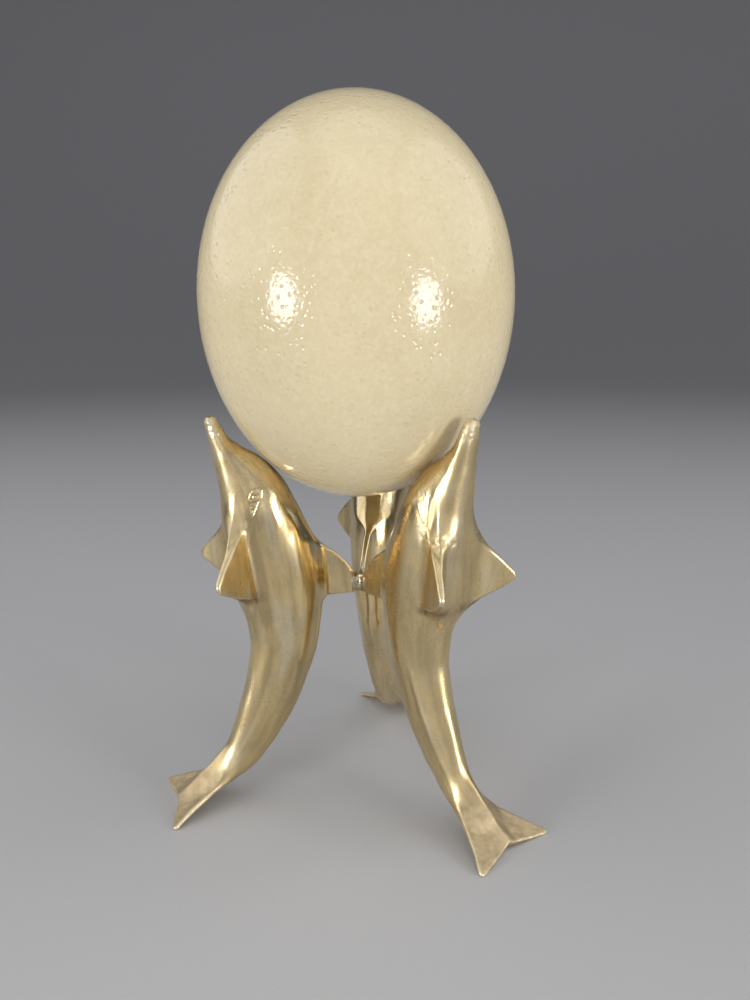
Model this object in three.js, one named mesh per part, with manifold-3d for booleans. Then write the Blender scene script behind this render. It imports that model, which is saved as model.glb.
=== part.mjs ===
// An ostrich egg standing on end in a tripod of three cast brass dolphins.
// The dolphins stand on their tail flukes with their bellies outward. Their dorsal fins meet on the
// stand's axis, where one bead of braze joins them, and the egg rests on their three foreheads.
// Millimetres, +Z up. The origin is the bottom centre of the whole object's bounding box.
import * as THREE from "three";
import { mergeVertices } from "three/addons/utils/BufferGeometryUtils.js";
import Module from "manifold-3d";

const wasm = await Module();
wasm.setup();

// Egg
const EGG_WIDTH = 134;
const EGG_LENGTH = 169;
const EGG_CENTRE_HEIGHT = 225.6;
const EGG_BLUNTNESS = 0.012; // how much wider the upper half is, as a share of the radius
const EGG_ROWS = 28;
const EGG_SIDES = 40;

// Stand: the directions of the dolphins' bellies, in degrees counterclockwise from +X, and the
// height of each beak's tip, which was filed to shape by hand.
const DOLPHINS = {
  dolphin_right: { bearing: -30, beakTip: 182.0 },
  dolphin_back: { bearing: 92, beakTip: 180.2 },
  dolphin_left: { bearing: 208.5, beakTip: 179.2 },
};

// One dolphin, in its own upright plane: out is the distance from the stand's axis, up the height.
// Body stations from the forehead to the root of the flukes: [out, up, half depth, half width]
const BODY_STATIONS = [
  [57.5, 161.6, 6.1, 5.6],
  [52.4, 155.2, 10.8, 9.2],
  [47.4, 145.0, 14.6, 11.8],
  [44.4, 134.5, 17.0, 13.0],
  [41.5, 123.5, 19.1, 13.4],
  [38.3, 109.5, 19.8, 13.1],
  [36.0, 95.5, 18.4, 12.0],
  [35.5, 83.5, 16.5, 10.7],
  [36.2, 72.5, 15.2, 9.7],
  [38.9, 62.0, 13.9, 8.8],
  [42.0, 52.0, 13.0, 8.0],
  [46.3, 41.9, 11.9, 7.2],
  [51.3, 31.5, 10.2, 6.3],
  [57.5, 22.0, 8.0, 5.6],
  [65.5, 14.5, 5.2, 5.4],
  [74.0, 9.0, 2.6, 5.0],
];
// Beak stations from just under its tip to inside the head
const BEAK_TIP = [64.7, 2.6, 3.4]; // out, half depth, half width
const BEAK_STATIONS = [
  [62.6, 173.5, 3.6, 4.6],
  [60.4, 167.5, 4.7, 5.6],
  [58.0, 161.0, 6.1, 6.8],
  [55.2, 152.0, 7.2, 8.0],
  [51.0, 143.0, 7.6, 8.2],
];
const BODY_CAP = 0.055; // share of the body's length over which each end rounds off
const BEAK_CAP = 0.14;
const BODY_SIDES = 18;
const BODY_RINGS = 38;
const BEAK_SIDES = 12;
const BEAK_RINGS = 12;

// Fins: each is a blade drawn from its root at x = 0, as a start point and then edges that run
// straight to a point or bend towards another on the way.
const BLADE_BEVEL = 0.22; // share of the thickness
const BLADE_CURVE_STEPS = 7;

// Dorsal fin: x runs from inside the dolphin's back to the stand's axis, y is the height.
const DORSAL_FIN_ROOT_OUT = 26;
const DORSAL_FIN_REACH = 22.8; // it is cut off square here, against the braze
const DORSAL_FIN_THICKNESS = 3.2;
const DORSAL_FIN_EDGE_SHARE = 0.7; // thickness left at the end of the fin
const DORSAL_FIN_OUTLINE = {
  start: [0, 95.5],
  edges: [
    { to: [DORSAL_FIN_REACH, 95] },
    { to: [DORSAL_FIN_REACH, 105] },
    { to: [0, 123], bend: [16.5, 116] },
  ],
};

// Pectoral fins: x runs out to the side and to the front of the dolphin, y is the height.
const PECTORAL_ROOT_OUT = 47;
const PECTORAL_ROOT_SIDE = 9;
const PECTORAL_LEAN = 40; // degrees from straight out towards the side
const PECTORAL_REACH = 26.5;
const PECTORAL_THICKNESS = 5.6;
const PECTORAL_EDGE_SHARE = 0.5;
const PECTORAL_OUTLINE = {
  start: [0, 100.5],
  edges: [
    { to: [PECTORAL_REACH, 109.5], bend: [13, 102] },
    { to: [PECTORAL_REACH - 1.5, 114.5], bend: [PECTORAL_REACH + 1.5, 111.5] },
    { to: [0, 133], bend: [16, 122] },
  ],
};

// Tail flukes: one crescent, as wide as two spans, that slopes down to the surface. x is the
// sideways span and y runs down the slope, from the root to the tips. Each half's leading edge
// droops between its root and its tip.
const FLUKE_ROOT_OUT = 64;
const FLUKE_ROOT_UP = 17.5;
const FLUKE_SLOPE = 33; // degrees below level
const FLUKE_SPAN = 22.5;
const FLUKE_LENGTH = 32.5;
const FLUKE_NOTCH = 27;
const FLUKE_THICKNESS = 3.4;
const FLUKE_EDGE_SHARE = 0.6;
const FLUKE_DROOP = 3.4;
const flukeHalf = (side) => ({
  root: [side * 5, -2],
  sweep: [side * 11, 13],
  shoulder: [side * FLUKE_SPAN, FLUKE_LENGTH - 3],
  tip: [side * (FLUKE_SPAN - 1), FLUKE_LENGTH],
  trailing: [side * 9, FLUKE_NOTCH + 2.5],
});
const FLUKE_OUTLINE = {
  start: flukeHalf(1).root,
  edges: [
    { to: flukeHalf(1).shoulder, bend: flukeHalf(1).sweep },
    { to: flukeHalf(1).tip },
    { to: [0, FLUKE_NOTCH], bend: flukeHalf(1).trailing },
    { to: flukeHalf(-1).tip, bend: flukeHalf(-1).trailing },
    { to: flukeHalf(-1).shoulder },
    { to: flukeHalf(-1).root, bend: flukeHalf(-1).sweep },
  ],
};

// Braze bead between the fin ends: a ball of run metal with lumps, [waves, phase] along x, y and z
const BRAZE_RADIUS = 2.7;
const BRAZE_HEIGHT = 9;
const BRAZE_CENTRE_HEIGHT = 100;
const BRAZE_LUMP = 0.07;
const BRAZE_WAVES = { x: [5, 1], y: [4, 0], z: [6, 2] };
const BRAZE_DETAIL = 3;

const FLOOR_CUTTER = 400;

const MATERIALS = {
  shell: new THREE.MeshStandardMaterial({ color: 0xe6d8ae, roughness: 0.35, metalness: 0 }),
  brass: new THREE.MeshStandardMaterial({ color: 0xb59a5b, roughness: 0.3, metalness: 1 }),
  braze: new THREE.MeshStandardMaterial({ color: 0x9a8658, roughness: 0.45, metalness: 1 }),
};

const radians = THREE.MathUtils.degToRad;

// A closed three.js geometry as a manifold-3d solid.
function solidOf(geometry) {
  const bare = geometry.clone();
  bare.deleteAttribute("normal");
  bare.deleteAttribute("uv");
  const merged = mergeVertices(bare, 1e-4);
  return new wasm.Manifold(
    new wasm.Mesh({
      numProp: 3,
      vertProperties: merged.attributes.position.array,
      triVerts: new Uint32Array(merged.index.array),
    }),
  );
}

function geometryOf(solid) {
  const mesh = solid.getMesh();
  return new THREE.BufferGeometry()
    .setAttribute("position", new THREE.BufferAttribute(mesh.vertProperties, 3))
    .setIndex(new THREE.BufferAttribute(mesh.triVerts, 1));
}

// 0 at both ends of a body and 1 between, rising as a quarter circle over the share `cap`.
function capRounding(t, cap) {
  const inner = Math.min(1, Math.min(t, 1 - t) / cap);
  return Math.sqrt(1 - (1 - inner) ** 2);
}

// A closed body of oval sections along a curve in the dolphin's plane, made by warping a sphere:
// its rows become the sections, and its poles the two ends.
function sweptBody(stations, sides, rings, cap) {
  const centres = new THREE.CatmullRomCurve3(
    stations.map(([out, up]) => new THREE.Vector3(out, 0, up)),
  );
  const halves = new THREE.CatmullRomCurve3(
    stations.map(([, , depth, width]) => new THREE.Vector3(depth, width, 0)),
  );
  const geometry = new THREE.SphereGeometry(1, sides, rings);
  const position = geometry.attributes.position;
  for (let ring = 0; ring <= rings; ring++) {
    // Rings crowd towards the ends, where the body rounds off.
    const t = (1 - Math.cos((Math.PI * ring) / rings)) / 2;
    const centre = centres.getPoint(t);
    const along = centres.getTangent(t);
    const half = halves.getPoint(t).multiplyScalar(capRounding(t, cap));
    for (let side = 0; side <= sides; side++) {
      const angle = (2 * Math.PI * side) / sides;
      const inPlane = half.x * Math.cos(angle);
      position.setXYZ(
        ring * (sides + 1) + side,
        centre.x - along.z * inPlane,
        half.y * Math.sin(angle),
        centre.z + along.x * inPlane,
      );
    }
  }
  return geometry;
}

// A flat blade from an outline, thinning from its root at x = 0 to `edgeShare` at x = reach.
function blade({ start, edges }, thickness, reach, edgeShare) {
  const outline = new THREE.Shape();
  outline.moveTo(...start);
  for (const { to, bend } of edges) {
    if (bend) outline.quadraticCurveTo(...bend, ...to);
    else outline.lineTo(...to);
  }
  const bevel = thickness * BLADE_BEVEL;
  const geometry = new THREE.ExtrudeGeometry(outline, {
    depth: thickness - 2 * bevel,
    bevelThickness: bevel,
    bevelSize: bevel,
    bevelOffset: -bevel,
    bevelSegments: 1,
    curveSegments: BLADE_CURVE_STEPS,
  });
  geometry.translate(0, 0, bevel - thickness / 2);
  const position = geometry.attributes.position;
  for (let i = 0; i < position.count; i++) {
    const share = THREE.MathUtils.clamp(Math.abs(position.getX(i)) / reach, 0, 1);
    position.setZ(i, position.getZ(i) * THREE.MathUtils.lerp(1, edgeShare, share));
  }
  return geometry;
}

function dorsalFin() {
  return blade(DORSAL_FIN_OUTLINE, DORSAL_FIN_THICKNESS, DORSAL_FIN_REACH, DORSAL_FIN_EDGE_SHARE)
    .rotateX(Math.PI / 2)
    .rotateZ(Math.PI)
    .translate(DORSAL_FIN_ROOT_OUT, 0, 0);
}

function pectoralFin(side) {
  return blade(PECTORAL_OUTLINE, PECTORAL_THICKNESS, PECTORAL_REACH, PECTORAL_EDGE_SHARE)
    .rotateX(Math.PI / 2)
    .rotateZ(radians(side * PECTORAL_LEAN))
    .translate(PECTORAL_ROOT_OUT, side * PECTORAL_ROOT_SIDE, 0);
}

function flukes() {
  const crescent = blade(FLUKE_OUTLINE, FLUKE_THICKNESS, FLUKE_SPAN, FLUKE_EDGE_SHARE);
  const position = crescent.attributes.position;
  for (let i = 0; i < position.count; i++) {
    const outward = Math.min(1, Math.abs(position.getX(i)) / FLUKE_SPAN);
    const forward = 1 - Math.max(0, position.getY(i)) / FLUKE_LENGTH;
    position.setZ(i, position.getZ(i) - FLUKE_DROOP * forward * Math.sin(Math.PI * outward));
  }
  return crescent
    .rotateZ(-Math.PI / 2) // down the slope is now x, and the span is y
    .rotateY(radians(FLUKE_SLOPE))
    .translate(FLUKE_ROOT_OUT, 0, FLUKE_ROOT_UP);
}

// One casting: body, beak, fins and flukes in one piece, ground flat where it stands.
function dolphin(beakTip) {
  const [tipOut, tipDepth, tipWidth] = BEAK_TIP;
  const beak = [[tipOut, beakTip, tipDepth, tipWidth], ...BEAK_STATIONS];
  const belowFloor = new THREE.BoxGeometry(FLOOR_CUTTER, FLOOR_CUTTER, FLOOR_CUTTER);
  belowFloor.translate(0, 0, -FLOOR_CUTTER / 2);
  const pieces = [
    sweptBody(BODY_STATIONS, BODY_SIDES, BODY_RINGS, BODY_CAP),
    sweptBody(beak, BEAK_SIDES, BEAK_RINGS, BEAK_CAP),
    dorsalFin(),
    pectoralFin(1),
    pectoralFin(-1),
    flukes(),
  ];
  const whole = pieces.map(solidOf).reduce((casting, piece) => casting.add(piece));
  return whole.subtract(solidOf(belowFloor));
}

function egg() {
  const profile = [];
  for (let row = 0; row <= EGG_ROWS; row++) {
    const angle = (Math.PI * row) / EGG_ROWS;
    const height = -Math.cos(angle);
    const radius = (EGG_WIDTH / 2) * Math.sin(angle) * (1 + EGG_BLUNTNESS * height);
    profile.push(new THREE.Vector2(Math.max(0, radius), (EGG_LENGTH / 2) * height));
  }
  return new THREE.LatheGeometry(profile, EGG_SIDES).rotateX(Math.PI / 2);
}

function brazeBead() {
  const geometry = new THREE.IcosahedronGeometry(1, BRAZE_DETAIL);
  const position = geometry.attributes.position;
  const point = new THREE.Vector3();
  const wave = (axis) => Math.sin(BRAZE_WAVES[axis][0] * point[axis] + BRAZE_WAVES[axis][1]);
  for (let i = 0; i < position.count; i++) {
    point.fromBufferAttribute(position, i);
    point.multiplyScalar(1 + BRAZE_LUMP * wave("x") * wave("y") * wave("z"));
    position.setXYZ(i, point.x, point.y, point.z);
  }
  return geometry.scale(BRAZE_RADIUS, BRAZE_RADIUS, BRAZE_HEIGHT / 2);
}

function named(name, geometry, material) {
  const mesh = new THREE.Mesh(geometry, material);
  mesh.name = name;
  return mesh;
}

const group = new THREE.Group();

const eggMesh = named("egg", egg(), MATERIALS.shell);
eggMesh.position.z = EGG_CENTRE_HEIGHT;
group.add(eggMesh);

for (const [name, { bearing, beakTip }] of Object.entries(DOLPHINS)) {
  const mesh = named(name, geometryOf(dolphin(beakTip)), MATERIALS.brass);
  mesh.rotation.z = radians(bearing);
  group.add(mesh);
}

const bead = named("braze_joint", brazeBead(), MATERIALS.braze);
bead.position.z = BRAZE_CENTRE_HEIGHT;
group.add(bead);

// The whole object is moved level so that its bounding box is centred on the origin.
const box = new THREE.Box3().setFromObject(group, true);
group.position.set(-(box.min.x + box.max.x) / 2, -(box.min.y + box.max.y) / 2, 0);

export default group;
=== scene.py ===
# An ostrich egg standing on end in a tripod of three cast brass dolphins, with a bead of braze
# where their dorsal fins meet. Shapes are worked out in millimetres and made in metres.
import math
from functools import partial

import bpy
import numpy as np
from mathutils import Matrix, Vector


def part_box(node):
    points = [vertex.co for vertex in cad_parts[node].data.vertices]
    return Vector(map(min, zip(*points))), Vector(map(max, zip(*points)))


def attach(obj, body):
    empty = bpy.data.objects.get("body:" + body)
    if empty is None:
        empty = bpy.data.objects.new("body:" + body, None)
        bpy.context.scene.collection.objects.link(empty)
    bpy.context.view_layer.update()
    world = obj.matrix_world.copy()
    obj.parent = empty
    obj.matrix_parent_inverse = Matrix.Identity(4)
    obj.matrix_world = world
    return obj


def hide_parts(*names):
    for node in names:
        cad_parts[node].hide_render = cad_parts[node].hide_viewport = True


MM = 0.001

# Stand: for each dolphin, the direction of its belly in degrees counterclockwise from +X, how much longer
# its beak was left when it was filed, how far above the pattern's its eyes were cut and how deep, how high
# the lumps stand where its throat ends, and how dull it has gone
DOLPHINS = {
    "dolphin_right": {"bearing": -30.0, "beak": 1.7, "eye": 3.6, "cut": 0.6, "lumps": 0.32, "dull": 0.8},
    "dolphin_back": {"bearing": 92.0, "beak": 0.0, "eye": 2.0, "cut": 0.8, "lumps": 0.25, "dull": 0.0},
    "dolphin_left": {"bearing": 208.5, "beak": -1.0, "eye": 0.8, "cut": 1.5, "lumps": 0.05, "dull": 0.1},
}

# Egg
EGG_WIDTH = 134.0
EGG_LENGTH = 169.0
EGG_BLUNTNESS = 0.012
EGG_GRID = 120  # squares along each side of the cube that the egg's mesh is blown up from
EGG_RIPPLE = 0.014
EGG_RIPPLE_SIZE = 2.6

# One dolphin in its own upright plane: [out from the stand's axis, up, half depth, half width]
BODY_STATIONS = [
    [56.7, 161.8, 5.8, 5.6],
    [51.0, 154.8, 9.6, 9.0],
    [45.4, 145.0, 12.6, 12.3],
    [42.6, 134.5, 15.3, 13.5],
    [41.0, 123.5, 18.6, 13.6],
    [38.3, 109.5, 19.8, 13.1],
    [36.0, 95.5, 18.4, 12.0],
    [35.5, 83.5, 16.5, 10.7],
    [36.2, 72.5, 15.2, 9.7],
    [38.9, 62.0, 13.9, 8.8],
    [42.0, 52.0, 13.0, 8.0],
    [46.3, 41.9, 11.9, 7.2],
    [51.3, 31.5, 10.2, 6.3],
    [57.5, 22.0, 8.0, 5.6],
    [65.5, 14.5, 5.2, 5.4],
    [72.0, 10.2, 3.2, 5.0],
]
BODY_CAPS = (5.0, 3.5)
# The beak runs on into the throat, which ends in a round step above the pectoral fins.
THROAT_STATIONS = [
    [64.0, 177.2, 2.8, 3.6],
    [62.5, 173.0, 3.6, 4.6],
    [60.4, 167.5, 4.6, 5.7],
    [57.4, 161.0, 6.6, 7.3],
    [54.2, 152.0, 8.5, 9.2],
    [51.5, 143.0, 10.2, 10.4],
    [50.2, 134.5, 10.9, 11.2],
    [49.1, 130.5, 11.2, 11.3],
]
THROAT_CAPS = (3.0, 9.0)
THROAT_BLEND = 3.0
THROAT_SQUARENESS = 2.3
TAIL_SQUARENESS = 2.25  # over 2, the tail's section has a broad belly and flat sides
SPINE_STEP = 0.7

# Fins: outlines with a start point, then straight edges and edges that bend towards a point
DORSAL_FIN = [((0, 95), None), ((23.0, 95), None), ((23.0, 105), None), ((0, 124), (16.5, 116))]
DORSAL_ROOT_OUT = 26.0
DORSAL_HALF = (1.9, 1.3)  # half its thickness, where it leaves the back and at its far end
DORSAL_FLARE = 4.0  # how much thicker it gets at the back, and over what distance
DORSAL_ROUND = 1.0  # the radius of its rim
DORSAL_BLEND = 4.5  # how softly it flows into the body
PECTORAL_FIN = [
    ((-8, 98.0), None),
    ((0, 100.2), None),
    ((22.3, 109.0), (10.5, 101.6)),
    ((20.8, 114.5), (24.3, 111.5)),
    ((0, 132.5), (13, 122.5)),
    ((-8, 139), None),
]
PECTORAL_ROOT_SIDE = 9.8
PECTORAL_ROOT_HEIGHTS = (103, 131)
PECTORAL_HALF = (2.6, 1.15)  # half its thickness at its root and at its tip
PECTORAL_TAPER = (1.15, 0.85)  # the share of that at its lower and at its upper edge
PECTORAL_ROUND = 0.95
PECTORAL_BLENDS = (13.0, 3.0)  # it flows softly into the chest, and less so into the flank
# The pattern's two pectoral fins aren't quite alike. For each: the side, the lean away from the belly in
# degrees, how much higher it is, its share of the reach, and how far out its root is at its lower and
# upper end
PECTORAL_SIDES = [
    (1, 49.9, 0.0, 1.0, (51.5, 54.5)),
    (-1, 37.5, 1.6, 0.955, (51.5, 52.5)),
]
FLUKE_REACH = 22.3
FLUKE_LENGTH = 32.2
FLUKE_HALF = [
    ((0, -12), None),
    ((3.5, -8), None),
    ((FLUKE_REACH, 29.5), (10.5, 13)),
    ((21.3, FLUKE_LENGTH), (23.2, 31.6)),
    ((0, 27), (9, 29.5)),
]
FLUKE_ROOT = (64.0, 17.5)
FLUKE_SLOPE = 33.0
FLUKE_DROOP = 3.4
FLUKE_THICK = (1.4, 0.95)  # half the thickness at the middle and at the tips
FLUKE_RIDGE = (3.2, 0.5)  # how far the middle ridge stands up at the tail and at the notch
FLUKE_RIDGE_WIDTH = 3.3
FLUKE_ROUND = 0.8
FLUKE_BLEND = 7.0
CURVE_STEPS = 9

# Head marks, in the dolphin's plane
EYE = (47.8, 144.7)
EYE_RING = 1.45
EYE_LINE = 0.34
CREST_LINE = [
    (51.3, 130),
    (51.2, 138),
    (51.4, 147),
    (53.2, 153),
    (56.4, 159.5),
    (60.6, 168.5),
    (63.8, 178.5),
]
THROAT_END = 131.5
FIN_STEP = 100.5  # the height of the rough step under the pectoral fins
KEEL = (2.2, 1.3)  # how far to the belly's side of the spine it runs, and its half width

# Relief of the castings: how far it stands up, or down where it says depth
RIDGE_HEIGHT = 0.17
GROOVE_DEPTH = 0.07
KEEL_HEIGHT = 0.45
STEP_LUMPS = 0.12
CAST_GRAIN = 0.035
CAST_WAVES = 0.02
TIP_LUMPS = 0.19
EYE_OUTLINE_HEIGHT = 0.20
EYE_RING_HEIGHT = 0.22
EYE_MARK_DEPTH = 0.10
HAND_WAVES = 0.13
HAND_RIPPLES = 0.02

# Mesh of the castings: grid lines from one height or distance to the next at a step, finer at the eyes
GRID_U = [(1.0, 0.62), (42.5, 0.36), (53.5, 0.62), (94.0, None)]
GRID_V = [(-34.0, 0.62), (34.0, None)]
GRID_W = [(-1.24, 0.62), (134.5, 0.36), (155.0, 0.62), (182.5, None)]

# Braze: a ball, and an arm along each dorsal fin, with their half sizes
BRAZE_CENTRE = 100.0
BRAZE_BALL = (2.7, 4.4)
BRAZE_ARM_OUT = 2.8
BRAZE_ARM = (2.6, 1.9, 4.6)
BRAZE_BLEND = 1.2
BRAZE_LUMPS = 0.28
BRAZE_STEP = 0.35

# Colours of the brass, from clean to dirty, with a pale and a dark colour for painted reflections
WORN = (0.95, 0.86, 0.62)
PAINTED_PALE_REFLECTION = (0.92, 0.82, 0.62)
GOLD = (0.86, 0.66, 0.335)
CAST = ((0.67, 0.54, 0.34), (0.54, 0.42, 0.255))
OLIVE = (0.62, 0.52, 0.32)
SATIN = (0.62, 0.49, 0.26)
PAINTED_DARK_REFLECTION = (0.50, 0.38, 0.20)
BROWN_STREAK = (0.52, 0.38, 0.19)
TARNISH_SPECK = (0.34, 0.28, 0.17)
DIRT = (0.13, 0.085, 0.04)
POLISH = 0.09  # the roughness of clean polished brass
ROUGHER = (0.06, 0.17, 0.22, 0.25)  # what tarnish, satin, raw metal and dirt add to it
BRAZE_METAL = (0.62, 0.55, 0.38)
BRAZE_FLUX = (0.20, 0.15, 0.08)

# Colours of the shell, and a painted light for the raised parts of its orange peel
CREAM = (0.760, 0.640, 0.400)
DEEP_CREAM = (0.700, 0.585, 0.355)
SHELL_MOTTLE = (0.80, 0.70, 0.47)
PAINTED_PEEL_LIGHT = (0.90, 0.81, 0.60)
SHELL_PORE = (0.46, 0.33, 0.15)
SHELL_SPECK = (0.20, 0.12, 0.05)
PORE_SCALE = 360.0  # pores per metre, and so on
SPECK_SCALE = 62.0
SKIN_SCALE = 560.0
SKIN_SHARE = 0.65  # how high the skin's orange peel is, against the depth of a pore
SKIN_DEPTH = 0.00018

# Studio, in metres: a sheet of paper that is flat to a radius, then curves up into a wall
STAGE_FLAT = 1.5
STAGE_COVE = 0.7
STAGE_TOP = 2.4
STAGE_SIDES = 96
# The paper's colour near the middle and far out: a painted pool of light
PAPER_NEAR = (0.52, 0.52, 0.53)
PAPER_FAR = (0.20, 0.20, 0.215)
# The middle of a painted glow: the paper glows behind the camera, in place of light bounced back
PAINTED_GLOW_CENTRE = (0.45, -2.1, 0.7)
WORLD_COLOUR = (0.08, 0.083, 0.09, 1)

# Lights: azimuth from the camera and elevation in degrees, distance, width and height in metres, watts,
# and the beam's spread in degrees
LIGHTS = {
    "key_left": (-50, 2, 1.0, 0.36, 0.34, 1.1, 100),
    "key_right": (48, 0, 1.0, 0.36, 0.34, 1.1, 100),
    "front_high": (5, 56, 1.3, 1.1, 0.7, 1.3, 180),
    "high_left": (-98, 33, 1.3, 2.0, 1.5, 7.4, 180),
    "high_right": (84, 33, 1.3, 2.0, 1.5, 7.4, 180),
    "overhead": (0, 85, 1.3, 1.2, 1.2, 2.5, 180),
}
LIGHT_AIM = 0.2  # the height that they face

# Camera: its place about the stand's axis, and where it points
CAMERA_AZIMUTH = 15.6
CAMERA_DISTANCE = 434.2
CAMERA_HEIGHT = 246.6
CAMERA_PITCH = 14.05
CAMERA_YAW = 0.93
CAMERA_ROLL = -0.6
LENS = 36.0
SENSOR = 36.0


# ---------------------------------------------------------------- shapes as distance fields


def smooth_union(a, b, blend):
    share = np.clip(0.5 + 0.5 * (b - a) / blend, 0, 1)
    return b * (1 - share) + a * share - blend * share * (1 - share)


def spline(stations):
    """Evenly spaced samples of a Catmull-Rom curve through the stations."""
    points = np.array(stations, float)
    padded = np.vstack([2 * points[0] - points[1], points, 2 * points[-1] - points[-2]])
    fine = []
    for i in range(1, len(padded) - 2):
        a, b, c, d = padded[i - 1 : i + 3]
        t = np.linspace(0, 1, 40, endpoint=False)[:, None]
        square, cube = 2 * a - 5 * b + 4 * c - d, 3 * b - a - 3 * c + d
        fine.append(0.5 * (2 * b + (c - a) * t + square * t**2 + cube * t**3))
    fine = np.vstack([*fine, points[-1:]])
    length = np.concatenate([[0], np.cumsum(np.linalg.norm(np.diff(fine[:, :2], axis=0), axis=1))])
    even = np.linspace(0, length[-1], int(length[-1] / SPINE_STEP) + 1)
    return np.stack([np.interp(even, length, fine[:, k]) for k in range(4)], 1)


def swept(u, v, w, spine, caps, squareness):
    """Distance to a body of oval sections along a spine in the plane v = 0, with round ends."""
    shape = np.broadcast(u, w).shape
    flat_u, flat_w = (np.broadcast_to(x, shape).ravel() for x in (u, w))
    tangent = np.gradient(spine[:, :2], axis=0)
    tangent /= np.linalg.norm(tangent, axis=1)[:, None]
    nearest = np.empty(len(flat_u), int)
    for start in range(0, len(flat_u), 20000):
        part = slice(start, start + 20000)
        gap = (flat_u[part, None] - spine[:, 0]) ** 2 + (flat_w[part, None] - spine[:, 1]) ** 2
        nearest[part] = gap.argmin(1)
    off_u, off_w = flat_u - spine[nearest, 0], flat_w - spine[nearest, 1]
    along = off_u * tangent[nearest, 0] + off_w * tangent[nearest, 1]
    across = off_w * tangent[nearest, 0] - off_u * tangent[nearest, 1]
    place = np.clip(nearest + along / SPINE_STEP, 0, len(spine) - 1)
    steps = np.arange(len(spine))
    depth = np.interp(place, steps, spine[:, 2])
    width = np.interp(place, steps, spine[:, 3])
    before = np.where(nearest == 0, np.minimum(along, 0) / caps[0], 0)
    after = np.where(nearest == len(spine) - 1, np.maximum(along, 0) / caps[1], 0)
    over = before + after
    cap = np.where(along < 0, caps[0], caps[1])
    across, depth, width, over, cap = (x.reshape(shape) for x in (across, depth, width, over, cap))
    power = squareness(w)
    a, b = np.abs(across) / depth + 1e-6, np.abs(v) / width + 1e-6
    oval = (a**power + b**power) ** (1 / power)
    ratio = np.sqrt(oval**2 + over**2)
    slope_a = oval ** (2 - power) * a ** (power - 1) / depth
    slope_b = oval ** (2 - power) * b ** (power - 1) / width
    slope = np.sqrt(slope_a**2 + slope_b**2 + (over / cap) ** 2)
    return ratio * (ratio - 1) / np.maximum(slope, 1e-4)


def body_and_throat(u, v, w):
    body = swept(u, v, w, BODY_SPINE, BODY_CAPS, lambda w: np.interp(w, [30, 75], [TAIL_SQUARENESS, 2.0]))
    throat = swept(u, v, w, THROAT_SPINE, THROAT_CAPS, lambda w: THROAT_SQUARENESS)
    return smooth_union(body, throat, THROAT_BLEND)


def outline_points(edges):
    """The corners of an outline whose bent edges are quadratic curves."""
    points = [edges[0][0]]
    for to, bend in edges[1:]:
        if bend is None:
            points.append(to)
            continue
        start = points[-1]
        for t in np.linspace(0, 1, CURVE_STEPS)[1:]:
            points.append(
                tuple((1 - t) ** 2 * s + 2 * t * (1 - t) * b + t**2 * e for s, b, e in zip(start, bend, to))
            )
    return np.array(points, float)


def outline_distance(x, y, corners):
    """Signed distance to a closed outline, negative inside."""
    nearest = np.full(np.broadcast(x, y).shape, 1e9)
    inside = np.zeros(nearest.shape, bool)
    for (ax, ay), (bx, by) in zip(corners, np.roll(corners, -1, axis=0)):
        ex, ey = bx - ax, by - ay
        px, py = x - ax, y - ay
        t = np.clip((px * ex + py * ey) / (ex * ex + ey * ey + 1e-12), 0, 1)
        nearest = np.minimum(nearest, (px - ex * t) ** 2 + (py - ey * t) ** 2)
        crosses = ((ay > y) != (by > y)) & (x < (bx - ax) * (y - ay) / (by - ay + 1e-12) + ax)
        inside ^= crosses
    return np.where(inside, -1, 1) * np.sqrt(nearest)


def plate(flat, normal, half, rounding):
    """A plate of an outline's distance, with a half thickness and rounded rims."""
    side = flat + rounding
    face = np.abs(normal) - half + rounding
    outer = np.hypot(np.maximum(side, 0), np.maximum(face, 0))
    return outer + np.minimum(np.maximum(side, face), 0) - rounding


BODY_SPINE = spline(BODY_STATIONS)
THROAT_SPINE = spline(THROAT_STATIONS)
DORSAL_CORNERS = outline_points(DORSAL_FIN)
PECTORAL_CORNERS = outline_points(PECTORAL_FIN)
FLUKE_CORNERS = outline_points(FLUKE_HALF)
FLUKE_CORNERS = np.vstack([FLUKE_CORNERS, (FLUKE_CORNERS * [-1, 1])[::-1]])


def dorsal_fin(u, v, w):
    x = DORSAL_ROOT_OUT - u
    flare = DORSAL_FLARE * np.exp(-((np.maximum(x, 0) / DORSAL_FLARE) ** 2))
    half = np.interp(x, [0, 21], DORSAL_HALF) + flare
    return plate(outline_distance(x, w, DORSAL_CORNERS), v, half, DORSAL_ROUND), DORSAL_BLEND


def pectoral_fin(u, v, w, side, lean, higher, reach, root):
    off_u = u - np.interp(w, PECTORAL_ROOT_HEIGHTS, root)
    off_v = side * v - PECTORAL_ROOT_SIDE
    x = off_u * math.cos(lean) + off_v * math.sin(lean)
    normal = off_v * math.cos(lean) - off_u * math.sin(lean)
    half = np.interp(x, [0, 22], PECTORAL_HALF) * np.interp(w, [103, 130], PECTORAL_TAPER)
    flat = outline_distance(x / reach, w - higher, PECTORAL_CORNERS)
    return plate(flat, normal, half, PECTORAL_ROUND), np.interp(normal, [-1.5, 2.0], PECTORAL_BLENDS)


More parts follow.
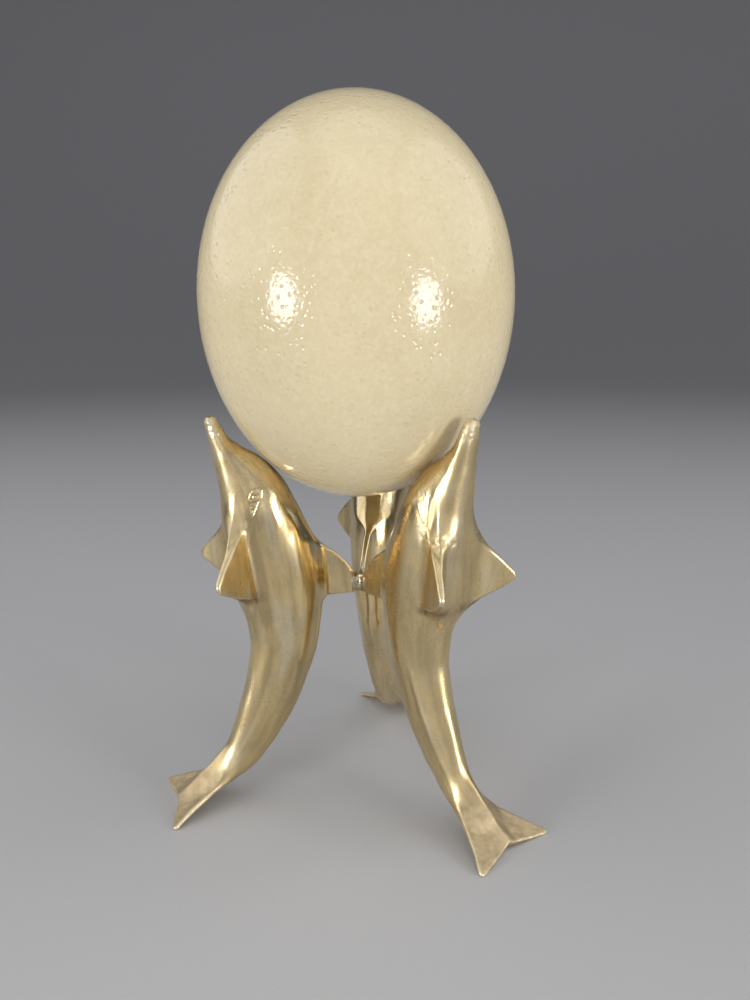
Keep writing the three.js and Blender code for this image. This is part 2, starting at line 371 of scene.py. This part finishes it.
def flukes(u, v, w):
    slope = math.radians(FLUKE_SLOPE)
    off_u, off_w = u - FLUKE_ROOT[0], w - FLUKE_ROOT[1]
    y = off_u * math.cos(slope) - off_w * math.sin(slope)
    normal = off_u * math.sin(slope) + off_w * math.cos(slope)
    forward = 1 - np.clip(y, 0, FLUKE_LENGTH) / FLUKE_LENGTH
    normal = normal + FLUKE_DROOP * forward * np.sin(math.pi * np.clip(np.abs(v) / FLUKE_REACH, 0, 1))
    ridge = np.exp(-((v / FLUKE_RIDGE_WIDTH) ** 2)) * np.interp(y, [2, 27], FLUKE_RIDGE)
    half = np.interp(np.abs(v), [0, 22], FLUKE_THICK) + ridge
    return plate(outline_distance(v, y, FLUKE_CORNERS), normal, half, FLUKE_ROUND), FLUKE_BLEND


# Each fin's field, which comes with how softly it flows into the body, and the box where it matters
FINS = [
    (dorsal_fin, [(1, 36), (-16, 16), (84, 134)]),
    (flukes, [(48, 94), (-28, 28), (-2, 36)]),
]
for side, lean, higher, reach, root in PECTORAL_SIDES:
    fin = partial(pectoral_fin, side=side, lean=math.radians(lean), higher=higher, reach=reach, root=root)
    FINS.append((fin, [(28, 82), tuple(sorted((-14 * side, 36 * side))), (82, 152)]))


def casting_at(u, v, w):
    """The dolphin's field at single points."""
    field = body_and_throat(u, v, w)
    for fin, _ in FINS:
        field = smooth_union(field, *fin(u, v, w))
    return field


def casting_grid(axes):
    """The dolphin's field on the whole grid, with each fin worked out only near itself."""
    u, v, w = (a.reshape(s) for a, s in zip(axes, [(-1, 1, 1), (1, -1, 1), (1, 1, -1)]))
    field = body_and_throat(u, v, w)
    for fin, ranges in FINS:
        box = tuple(slice(*np.searchsorted(a, ends)) for a, ends in zip(axes, ranges))
        field[box] = smooth_union(field[box], *fin(u[box[0]], v[:, box[1]], w[:, :, box[2]]))
    return np.maximum(field, -w)


# ---------------------------------------------------------------- meshes


def grid_lines(ranges):
    runs = [np.arange(low, high, step) for (low, step), (high, _) in zip(ranges, ranges[1:])]
    return np.concatenate(runs)


def surface_nets(field, axes):
    """Vertices and quads of the surface where the field on a grid is zero."""
    inside = field < 0
    corners = [(i, j, k) for i in (0, 1) for j in (0, 1) for k in (0, 1)]
    size = np.array(field.shape) - 1
    count = np.zeros(size, np.int8)
    for i, j, k in corners:
        count += inside[i : i + size[0], j : j + size[1], k : k + size[2]]
    active = (count > 0) & (count < 8)
    cells = np.argwhere(active)
    index = np.full(size, -1)
    index[active] = np.arange(len(cells))
    total = np.zeros((len(cells), 3))
    crossings = np.zeros(len(cells))
    for a in corners:
        for axis in range(3):
            if a[axis]:
                continue
            b = tuple(1 if n == axis else x for n, x in enumerate(a))
            fa = field[tuple((cells + a).T)]
            fb = field[tuple((cells + b).T)]
            crossed = (fa < 0) != (fb < 0)
            t = np.where(crossed, fa / np.where(fa == fb, 1, fa - fb), 0)
            point = np.array(a, float) + t[:, None] * (np.array(b) - a)
            total[crossed] += point[crossed]
            crossings[crossed] += 1
    place = cells + total / crossings[:, None]
    vertices = np.stack([np.interp(place[:, k], np.arange(len(a)), a) for k, a in enumerate(axes)], 1)
    quads = []
    for axis in range(3):
        swapped_in = np.moveaxis(inside, axis, 0)
        swapped_index = np.moveaxis(index, axis, 0)
        changes = swapped_in[:-1, 1:-1, 1:-1] != swapped_in[1:, 1:-1, 1:-1]
        i, j, k = np.argwhere(changes).T
        ring = [swapped_index[i, j + a, k + b] for a, b in ((0, 0), (1, 0), (1, 1), (0, 1))]
        faces = np.stack(ring, 1)
        outward = swapped_in[i, j + 1, k + 1]
        if axis == 1:  # moving this axis to the front mirrors the other two
            outward = ~outward
        faces[~outward] = faces[~outward][:, ::-1]
        quads.append(faces)
    return vertices, np.vstack(quads)


def settle(points, field, rounds=2, reach=0.15):
    """Moves points onto the field's surface along its gradient, and returns them and the normals."""
    for _ in range(rounds):
        value = field(*points.T)
        gradient = np.stack(
            [
                field(*(points + reach * np.eye(3)[k]).T) - field(*(points - reach * np.eye(3)[k]).T)
                for k in range(3)
            ],
            1,
        ) / (2 * reach)
        length = np.linalg.norm(gradient, axis=1)[:, None]
        step = np.clip(value[:, None] / np.maximum(length, 0.2), -0.5, 0.5)
        points = points - step * gradient / np.maximum(length, 1e-6)
    return points, gradient / np.maximum(length, 1e-6)


def waves(points, size, seed, count=28):
    """Smooth random relief, about -1 to 1, from plane waves of a given length in every direction."""
    rng = np.random.default_rng(seed)
    way = rng.normal(size=(count, 3))
    way *= (2 * math.pi / size) * rng.uniform(0.7, 1.4, (count, 1)) / np.linalg.norm(way, axis=1)[:, None]
    phase = rng.uniform(0, 2 * math.pi, count)
    return np.sin(points @ way.T + phase).sum(1) * math.sqrt(2 / count) / 2


def ramp(x, low, high):
    t = np.clip((x - low) / (high - low), 0, 1)
    return t * t * (3 - 2 * t)


def curvature(points, normals, quads):
    """How convex the surface is at each vertex, in 1/mm, smoothed over its neighbours."""
    edges = np.vstack([quads[:, [k, (k + 1) % 4]] for k in range(4)])
    a = np.concatenate([edges[:, 0], edges[:, 1]])
    b = np.concatenate([edges[:, 1], edges[:, 0]])
    degree = np.maximum(np.bincount(a, minlength=len(points)), 1)
    mean = np.stack([np.bincount(a, points[b, k], len(points)) for k in range(3)], 1) / degree[:, None]
    spread = np.bincount(a, ((points[b] - points[a]) ** 2).sum(1), len(points)) / degree
    value = 4 * ((points - mean) * normals).sum(1) / np.maximum(spread, 1e-6)
    for _ in range(4):
        value = 0.5 * value + 0.5 * np.bincount(a, value[b], len(points)) / degree
    return value


def make_piece(name, points, faces, material, masks=None, grain=None):
    """A smooth-shaded mesh object in metres, with its masks and its grain's place as vertex attributes."""
    mesh = bpy.data.meshes.new(name)
    mesh.vertices.add(len(points))
    mesh.vertices.foreach_set("co", (points * MM).astype(np.float32).ravel())
    mesh.loops.add(faces.size)
    mesh.loops.foreach_set("vertex_index", faces.astype(np.int32).ravel())
    mesh.polygons.add(len(faces))
    mesh.polygons.foreach_set("loop_start", np.arange(0, faces.size, faces.shape[1], dtype=np.int32))
    mesh.update(calc_edges=True)
    mesh.polygons.foreach_set("use_smooth", np.ones(len(faces), bool))
    for mask, values in (masks or {}).items():
        attribute = mesh.attributes.new(mask, "FLOAT", "POINT")
        attribute.data.foreach_set("value", values.astype(np.float32))
    if grain is not None:
        attribute = mesh.attributes.new("grain", "FLOAT_VECTOR", "POINT")
        attribute.data.foreach_set("vector", (grain * MM).astype(np.float32).ravel())
    mesh.materials.append(material)
    piece = bpy.data.objects.new(name, mesh)
    bpy.context.scene.collection.objects.link(piece)
    return piece


def casting():
    """The dolphins' common mesh in its own plane: points, normals, quads, masks, relief and grain."""
    axes = [grid_lines(ranges) for ranges in (GRID_U, GRID_V, GRID_W)]
    points, quads = surface_nets(casting_grid(axes), axes)
    standing = points[:, 2] < 0.45
    settled, normals = settle(points, casting_at)
    points = np.where(standing[:, None], points, settled)
    points[:, 2] = np.maximum(points[:, 2], 0)
    u, v, w = points.T
    convex = curvature(points, normals, quads)

    # The throat's edge stands a little proud of the head, with a soft valley behind it
    crest_u, crest_w = np.array(CREST_LINE).T
    past = 0.92 * (u - np.interp(w, crest_w, crest_u))
    side = ramp(np.abs(v), 0.6, 2.5) * ramp(w, 126, 140) * ramp(-w, -179, -174)
    ridge = np.exp(-(((past - 0.6) / 0.9) ** 2)) * side
    groove = np.exp(-(((past + 1.5) / 1.6) ** 2)) * side

    # A soft keel runs along each side of the tail
    body = np.array(BODY_STATIONS)[::-1]
    from_keel = 0.86 * (u - np.interp(w, body[:, 1], body[:, 0]))
    shift, half_width = KEEL
    along_tail = ramp(w, 18, 32) * ramp(-w, -85, -60)
    keel = np.exp(-(((from_keel - shift) / half_width) ** 2)) * along_tail * ramp(np.abs(v), 2, 5)

    # As-cast, unpolished metal: flukes, the beak's tip and the step under the pectoral fins
    fluke_zone = ramp(u + 0.9 * (14 - w), 66, 74) * (w < 30)
    tip_zone = ramp(w, 168, 176)
    fin_step = np.exp(-(((w - FIN_STEP) / 2.2) ** 2)) * ramp(u, 42, 48) * ramp(26 - np.abs(v), 0, 6)
    raw = np.clip(fluke_zone + 0.8 * tip_zone + fin_step, 0, 1)

    # Satin, where the polishing wheel only brushed it: throat, fins and tail
    throat = ramp(past, 0, 3) * ramp(w, 112, 125)
    fins = ramp(np.abs(v), 13.5, 17) * ramp(w, 90, 98) * ramp(-w, -142, -134)
    satin = 0.9 * throat + 0.8 * fins + 0.9 * ramp(-w, -85, -35)

    relief = RIDGE_HEIGHT * ridge - GROOVE_DEPTH * groove + KEEL_HEIGHT * keel
    relief += STEP_LUMPS * fin_step * waves(points, 3.0, 13)
    relief += raw * (CAST_GRAIN * waves(points, 1.9, 11) + CAST_WAVES * waves(points, 4.5, 12))
    relief += TIP_LUMPS * tip_zone * waves(points, 2.0, 15)
    masks = {
        "wear": np.clip(ramp(convex, 0.45, 1.2) + 0.5 * tip_zone, 0, 1),
        "grime": np.clip(0.6 * ramp(-convex, 0.12, 0.6) + 0.15 * groove + 0.6 * fin_step, 0, 1),
        "raw": raw,
        "satin": satin,
    }
    grain = np.stack([from_keel, v, w], 1)  # polishing marks and tarnish run along the body
    return points, normals, quads, masks, relief, grain


def eye_marks(points, higher):
    """On each side of the head, a low ball in a ring, in a mark that runs down to a point."""
    u, v, w = points.T
    off_u, off_w = u - EYE[0], w - EYE[1] - higher
    from_eye = np.hypot(off_u, off_w)
    on_head = ramp(np.abs(v), 4, 6) * (w > 125)
    half_mark = np.interp(off_w, [-9, -1, 3.0, 4.2], [0.2, 2.2, 2.1, 0])
    rim = half_mark - np.abs(off_u + 0.18 * off_w)
    mark = ramp(rim, -0.4, 0.4) * on_head
    outline = np.exp(-((rim / EYE_LINE) ** 2)) * on_head * ramp(-np.abs(off_w + 2.5), -7.5, -6)
    ring = np.exp(-(((from_eye - EYE_RING) / EYE_LINE) ** 2)) * on_head
    around = np.exp(-((from_eye / 4.5) ** 2)) * on_head
    relief = EYE_OUTLINE_HEIGHT * outline + EYE_RING_HEIGHT * ring
    relief += EYE_MARK_DEPTH * mark * (waves(points, 1.1, 5) - 1)
    return relief + 0.04 * around * waves(points, 2.0, 6), mark


def dolphin(name, cast, material, seed):
    """One casting, finished by hand, then turned to its bearing."""
    points, normals, quads, masks, relief, grain = cast
    own = DOLPHINS[name]
    u, v, w = points.T
    eye_relief, mark = eye_marks(points, own["eye"])
    throat_end = np.exp(-(((w - THROAT_END) / 3.2) ** 2)) * ramp(u, 47, 51) * ramp(np.abs(v), 3, 7)
    lumps = own["lumps"] * throat_end * (waves(points, 5.6, seed + 2) + 0.3 * waves(points, 2.5, seed + 3))
    hand = HAND_WAVES * waves(points * [1, 1, 0.16], 8, seed)
    hand += HAND_RIPPLES * waves(points * [1, 1, 0.3], 3.5, seed + 1)
    stood = ramp(w, 0, 3)
    points = points + normals * ((relief + own["cut"] * eye_relief + lumps + hand) * stood)[:, None]
    points[:, 2] = np.maximum(points[:, 2], 0)
    points[:, 2] += own["beak"] * ramp(points[:, 2], 162, 180.2) ** 0.7
    masks = {
        **masks,
        "raw": np.clip(masks["raw"] + 0.4 * mark + own["lumps"] * throat_end, 0, 1),
        "satin": np.clip(masks["satin"] + own["dull"], 0, 1),
    }
    turn = math.radians(own["bearing"])
    u, v, w = points.T
    placed = np.stack(
        [
            AXIS[0] + u * math.cos(turn) - v * math.sin(turn),
            AXIS[1] + u * math.sin(turn) + v * math.cos(turn),
            w,
        ],
        1,
    )
    return make_piece(name + "_casting", placed, quads, material, masks, grain + seed)


def egg(material):
    """The egg's mesh, blown up from a cube so that its squares are alike all over."""
    n = EGG_GRID
    grid = np.tan(np.linspace(-1, 1, n + 1) * math.pi / 4)
    points, faces = [], []
    a, b = np.meshgrid(grid, grid, indexing="ij")
    one = np.ones_like(a)
    for layers in [(one, a, b), (-one, b, a), (b, one, a), (a, -one, b), (a, b, one), (b, a, -one)]:
        start = sum(len(p) for p in points)
        points.append(np.stack([x.ravel() for x in layers], 1))
        i, j = (x.ravel() for x in np.meshgrid(np.arange(n), np.arange(n), indexing="ij"))
        first = start + i * (n + 1) + j
        faces.append(np.stack([first, first + n + 1, first + n + 2, first + 1], 1))
    points = np.vstack(points)
    points /= np.linalg.norm(points, axis=1)[:, None]
    _, first, back = np.unique(np.round(points, 6), axis=0, return_index=True, return_inverse=True)
    points, faces = points[first], back.ravel()[np.vstack(faces)]
    wide = EGG_WIDTH / 2 * (1 + EGG_BLUNTNESS * points[:, 2])
    shell = points * np.stack([wide, wide, np.full(len(points), EGG_LENGTH / 2)], 1)
    ripple = EGG_RIPPLE * (waves(shell, EGG_RIPPLE_SIZE, 21, 60) - 1)
    shell += points * ripple[:, None]
    shell += [AXIS[0], AXIS[1], EGG_CENTRE]
    return make_piece("egg_shell", shell, faces, material)


def braze_at(x, y, z):
    """The braze: a lumpy ball on the axis, run out along the end of each dorsal fin."""
    lumps = BRAZE_LUMPS * np.sin(1.3 * x + 1) * np.sin(1.1 * y + 0.5) * np.sin(0.9 * z + 2)
    radius, tall = BRAZE_BALL
    ratio = np.sqrt((x / radius) ** 2 + (y / radius) ** 2 + ((z - BRAZE_CENTRE) / tall) ** 2)
    field = (ratio - 1) * 2.9
    long, wide, high = BRAZE_ARM
    for own in DOLPHINS.values():
        turn = math.radians(own["bearing"])
        out = x * math.cos(turn) + y * math.sin(turn)
        side = y * math.cos(turn) - x * math.sin(turn)
        from_arm = ((out - BRAZE_ARM_OUT) / long) ** 2 + (side / wide) ** 2
        arm = np.sqrt(from_arm + ((z - BRAZE_CENTRE) / high) ** 2)
        field = smooth_union(field, (arm - 1) * 2.1, BRAZE_BLEND)
    return field + lumps


def braze(material):
    axes = [np.arange(-9, 9, BRAZE_STEP), np.arange(-9, 9, BRAZE_STEP), np.arange(92, 108, BRAZE_STEP)]
    x, y, z = np.meshgrid(*axes, indexing="ij")
    points, quads = surface_nets(braze_at(x, y, z), axes)
    points, _ = settle(points, braze_at)
    return make_piece("braze_bead", points + [AXIS[0], AXIS[1], 0], quads, material)


# ---------------------------------------------------------------- materials


class Nodes:
    """A short way to build a material's node tree."""

    def __init__(self, name):
        self.material = bpy.data.materials.new(name)
        self.material.use_nodes = True
        self.tree = self.material.node_tree
        self.shader = self.tree.nodes["Principled BSDF"]
        self.place = self.add("ShaderNodeTexCoord").outputs["Object"]

    def add(self, kind, **settings):
        node = self.tree.nodes.new(kind)
        for key, value in settings.items():
            setattr(node, key, value)
        return node

    def link(self, source, target):
        self.tree.links.new(source, target)

    def put(self, node, **inputs):
        for key, value in inputs.items():
            socket = node.inputs[key.replace("_", " ")]
            if isinstance(value, bpy.types.NodeSocket):
                self.link(value, socket)
            else:
                socket.default_value = value
        return node

    def grain(self, scale):
        """A place along and across the grain, at a scale for each."""
        node = self.add("ShaderNodeMapping")
        place = self.add("ShaderNodeAttribute", attribute_name="grain").outputs["Vector"]
        self.link(place, node.inputs["Vector"])
        node.inputs["Scale"].default_value = scale
        return node.outputs["Vector"]

    def noise(self, scale, detail=3.0, roughness=0.55, vector=None):
        node = self.add("ShaderNodeTexNoise")
        self.put(node, Vector=vector or self.place, Scale=scale, Detail=detail, Roughness=roughness)
        return node.outputs["Fac"]

    def mask(self, name):
        return self.add("ShaderNodeAttribute", attribute_name=name).outputs["Fac"]

    def remap(self, value, low, high, to_low=0.0, to_high=1.0):
        node = self.add("ShaderNodeMapRange", interpolation_type="SMOOTHSTEP")
        self.put(node, Value=value, From_Min=low, From_Max=high, To_Min=to_low, To_Max=to_high)
        return node.outputs["Result"]

    def math(self, operation, a, b):
        node = self.add("ShaderNodeMath", operation=operation)
        for socket, value in zip(node.inputs, (a, b)):
            if isinstance(value, bpy.types.NodeSocket):
                self.link(value, socket)
            else:
                socket.default_value = value
        return node.outputs[0]

    def mix(self, share, a, b):
        node = self.add("ShaderNodeMix", data_type="RGBA", blend_type="MIX")
        for socket, value in zip((node.inputs[0], node.inputs[6], node.inputs[7]), (share, a, b)):
            if isinstance(value, bpy.types.NodeSocket):
                self.link(value, socket)
            else:
                socket.default_value = (*value, 1.0) if isinstance(value, tuple) else value
        return node.outputs[2]

    def bump(self, height, distance):
        node = self.add("ShaderNodeBump")
        self.put(node, Height=height, Distance=distance, Strength=1.0)
        return node.outputs["Normal"]


def brass_material():
    """Old polished brass: tarnish in clouds, grime in hollows, bright worn edges, satin and raw patches,
    and long pale and dark bands of painted reflection.
    """
    n = Nodes("brass")
    cloud = n.remap(n.noise(60, 4, 0.62), 0.40, 0.64)
    streak = n.noise(1.0, 3, 0.65, n.grain((420, 420, 60)))
    reflection_bands = n.noise(1.0, 2, 0.5, n.grain((170, 170, 16)))
    fine = n.noise(1500, 2, 0.6)
    wear, grime, raw, satin = n.mask("wear"), n.mask("grime"), n.mask("raw"), n.mask("satin")
    colour = n.mix(n.math("MULTIPLY", cloud, 0.8), GOLD, OLIVE)
    # Painted reflections: long darker and paler bands along the body, in place of reflected surroundings
    colour = n.mix(n.remap(reflection_bands, 0.50, 0.66, 0, 0.65), colour, PAINTED_DARK_REFLECTION)
    colour = n.mix(n.remap(reflection_bands, 0.50, 0.36, 0, 0.5), colour, PAINTED_PALE_REFLECTION)
    colour = n.mix(n.remap(streak, 0.50, 0.72, 0, 0.4), colour, BROWN_STREAK)
    speckle = n.remap(n.noise(1100, 3, 0.7), 0.52, 0.66)
    colour = n.mix(n.math("MULTIPLY", n.math("MULTIPLY", speckle, cloud), 0.45), colour, TARNISH_SPECK)
    cast = n.mix(n.remap(n.noise(260, 4, 0.65), 0.4, 0.65), *CAST)
    colour = n.mix(n.math("MULTIPLY", satin, 0.45), colour, SATIN)
    colour = n.mix(n.math("MULTIPLY", raw, 0.85), colour, cast)
    dirt = n.math("MULTIPLY", grime, n.remap(n.noise(320, 3), 0.3, 0.6, 0.55, 1.0))
    colour = n.mix(dirt, colour, DIRT)
    colour = n.mix(n.math("MULTIPLY", wear, 0.7), colour, WORN)
    n.put(n.shader, Base_Color=colour, Metallic=1.0, Specular_IOR_Level=0.5)
    rough = n.remap(streak, 0.35, 0.7, POLISH, POLISH + 0.06)
    for patches, share in zip((cloud, satin, raw, dirt), ROUGHER):
        rough = n.math("ADD", rough, n.math("MULTIPLY", patches, share))
    n.put(n.shader, Roughness=rough)
    height = n.math("ADD", n.math("MULTIPLY", fine, 0.35), n.math("MULTIPLY", streak, 0.4))
    pits = n.math("MULTIPLY", n.noise(700, 2, 0.7), n.math("MULTIPLY", raw, 1.6))
    n.put(n.shader, Normal=n.bump(n.math("ADD", height, pits), 0.00007))
    return n.material


def braze_material():
    """Run braze: brighter, greyer, with patches of burnt flux."""
    n = Nodes("braze")
    patch = n.remap(n.noise(380, 4, 0.6), 0.4, 0.62)
    colour = n.mix(patch, BRAZE_METAL, BRAZE_FLUX)
    n.put(n.shader, Base_Color=colour, Metallic=1.0, Roughness=n.remap(patch, 0, 1, 0.16, 0.42))
    n.put(n.shader, Normal=n.bump(n.noise(520, 4, 0.6), 0.0003))
    return n.material


def shell_material():
    """Ostrich shell: cream and glossy, with a fine orange-peel skin, round pores and a few dark specks, and
    painted light that makes the peel's raised parts paler.
    """
    n = Nodes("shell")
    broad = n.remap(n.noise(14, 3, 0.55), 0.35, 0.65)
    colour = n.mix(broad, CREAM, DEEP_CREAM)
    mottle = n.remap(n.noise(230, 4, 0.6), 0.35, 0.7)
    colour = n.mix(n.math("MULTIPLY", mottle, 0.35), colour, SHELL_MOTTLE)
    pores = n.add("ShaderNodeTexVoronoi")
    n.put(pores, Vector=n.place, Scale=PORE_SCALE, Randomness=0.9)
    pit = n.remap(pores.outputs["Distance"], 0.02, 0.42, 1.0, 0.0)
    depth = n.remap(n.noise(150, 2), 0.38, 0.60, 0.35, 1.0)
    pit = n.math("MULTIPLY", pit, depth)
    colour = n.mix(n.math("MULTIPLY", pit, 0.09), colour, SHELL_PORE)
    specks = n.add("ShaderNodeTexVoronoi")
    n.put(specks, Vector=n.place, Scale=SPECK_SCALE, Randomness=1.0)
    chosen = n.remap(n.noise(31, 1), 0.56, 0.60)
    speck = n.math("MULTIPLY", n.remap(specks.outputs["Distance"], 0.03, 0.07, 1.0, 0.0), chosen)
    colour = n.mix(n.math("MULTIPLY", speck, 0.3), colour, SHELL_SPECK)
    skin = n.noise(SKIN_SCALE, 2, 0.4)
    # Painted light and shade: the colour is paler where the orange peel stands up
    colour = n.mix(n.remap(skin, 0.48, 0.66, 0, 0.15), colour, PAINTED_PEEL_LIGHT)
    n.put(n.shader, Base_Color=colour)
    n.put(n.shader, Roughness=n.remap(mottle, 0, 1, 0.09, 0.14))
    height = n.math("SUBTRACT", n.math("MULTIPLY", skin, SKIN_SHARE), pit)
    n.put(n.shader, Normal=n.bump(height, SKIN_DEPTH))
    return n.material


def paper_material():
    """Pale seamless paper, in a painted pool of light that falls off. Behind the camera it glows, painted
    in place of light bounced back.
    """
    n = Nodes("studio_paper")
    gradient = n.add("ShaderNodeVectorMath", operation="LENGTH")
    n.link(n.place, gradient.inputs[0])
    # Painted pool of light: the paper's colour darkens away from the middle
    fall = n.remap(gradient.outputs["Value"], 0.4, 2.0)
    n.put(n.shader, Base_Color=n.mix(fall, PAPER_NEAR, PAPER_FAR), Roughness=0.7)
    # Painted glow: the paper itself emits light, most near a point behind the camera
    glow = n.add("ShaderNodeVectorMath", operation="DISTANCE")
    n.link(n.place, glow.inputs[0])
    glow.inputs[1].default_value = PAINTED_GLOW_CENTRE
    painted_glow = n.remap(glow.outputs["Value"], 2.7, 0.3, 0.035, 0.74)
    n.put(n.shader, Emission_Color=(0.97, 0.97, 1.0, 1.0))
    n.put(n.shader, Emission_Strength=n.math("MULTIPLY", fall, painted_glow))
    n.put(n.shader, Normal=n.bump(n.noise(900, 3), 0.00008))
    return n.material


# ---------------------------------------------------------------- studio


def stage(material):
    """A round sheet of paper whose far edge curves up into a wall all round."""
    profile = [(0.0, 0.0)] + [(STAGE_FLAT * k / 12, 0.0) for k in range(1, 13)]
    profile += [
        (STAGE_FLAT + STAGE_COVE * math.sin(a), STAGE_COVE * (1 - math.cos(a)))
        for a in np.linspace(0, math.pi / 2, 14)[1:]
    ]
    profile.append((STAGE_FLAT + STAGE_COVE, STAGE_TOP))
    sides = STAGE_SIDES
    points = [
        (r * math.cos(2 * math.pi * s / sides), r * math.sin(2 * math.pi * s / sides), z)
        for r, z in profile
        for s in range(sides)
    ]
    faces = [
        (k * sides + s, k * sides + (s + 1) % sides, (k + 1) * sides + (s + 1) % sides, (k + 1) * sides + s)
        for k in range(len(profile) - 1)
        for s in range(sides)
    ]
    floor = make_piece("floor", np.array(points) / MM, np.array(faces), material)


def softbox(name, azimuth, elevation, distance, width, height, power, spread):
    """A soft area light that faces the middle of the object. Azimuth is as seen from the camera."""
    data = bpy.data.lights.new(name, "AREA")
    data.shape, data.size, data.size_y = "ELLIPSE", width, height
    data.energy, data.spread = power, math.radians(spread)
    light = bpy.data.objects.new(name, data)
    bpy.context.scene.collection.objects.link(light)
    around, up = math.radians(CAMERA_AZIMUTH + azimuth), math.radians(elevation)
    away = Vector((math.sin(around) * math.cos(up), -math.cos(around) * math.cos(up), math.sin(up)))
    middle = Vector((AXIS[0] * MM, AXIS[1] * MM, LIGHT_AIM))
    light.location = middle + away * distance
    light.rotation_mode = "QUATERNION"
    light.rotation_quaternion = away.to_track_quat("Z", "Y")
    light.visible_camera = False


def studio():
    for name, settings in LIGHTS.items():
        softbox(name, *settings)
    world = bpy.data.worlds.new("studio")
    bpy.context.scene.world = world
    world.use_nodes = True
    world.node_tree.nodes["Background"].inputs["Color"].default_value = WORLD_COLOUR
    world.node_tree.nodes["Background"].inputs["Strength"].default_value = 1.0
    bpy.context.scene.view_settings.view_transform = "Standard"


def camera():
    """The photographer's place: close, a little above the egg's middle, looking down."""
    pitch, yaw, roll = (math.radians(a) for a in (CAMERA_PITCH, CAMERA_YAW, CAMERA_ROLL))
    forward = Vector((math.sin(yaw) * math.cos(pitch), math.cos(yaw) * math.cos(pitch), -math.sin(pitch)))
    level = Vector((math.cos(yaw), -math.sin(yaw), 0))
    upright = level.cross(forward)
    right = level * math.cos(roll) + upright * math.sin(roll)
    up = upright * math.cos(roll) - level * math.sin(roll)
    turn = Matrix.Rotation(math.radians(CAMERA_AZIMUTH), 3, "Z")
    axes = Matrix((right, up, -forward)).transposed()
    data = bpy.data.cameras.new("camera")
    data.lens, data.sensor_width, data.clip_start = LENS, SENSOR, 0.02
    cam = bpy.data.objects.new("camera", data)
    bpy.context.scene.collection.objects.link(cam)
    place = turn @ Vector((0, -CAMERA_DISTANCE, CAMERA_HEIGHT)) + Vector((AXIS[0], AXIS[1], 0))
    cam.matrix_world = Matrix.Translation(place * MM) @ (turn @ axes).to_4x4()
    bpy.context.scene.camera = cam


# ---------------------------------------------------------------- the object

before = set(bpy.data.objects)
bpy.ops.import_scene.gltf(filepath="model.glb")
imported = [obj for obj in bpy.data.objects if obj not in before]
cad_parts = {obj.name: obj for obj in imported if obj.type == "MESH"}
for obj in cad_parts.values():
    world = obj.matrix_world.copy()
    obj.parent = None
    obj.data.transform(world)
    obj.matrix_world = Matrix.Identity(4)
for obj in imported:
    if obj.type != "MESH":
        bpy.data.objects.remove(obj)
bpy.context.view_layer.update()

egg_low, egg_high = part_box("egg")
AXIS = ((egg_low.x + egg_high.x) / 2 / MM, (egg_low.y + egg_high.y) / 2 / MM)
EGG_CENTRE = (egg_low.z + egg_high.z) / 2 / MM

camera()
studio()
stage(paper_material())

shell = egg(shell_material())
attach(shell, "root")
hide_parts("egg")

brass = brass_material()
cast = casting()
for seed, node in enumerate(DOLPHINS):
    piece = dolphin(node, cast, brass, 100 + 10 * seed)
    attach(piece, "root")
    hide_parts(node)

bead = braze(braze_material())
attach(bead, "root")
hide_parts("braze_joint")
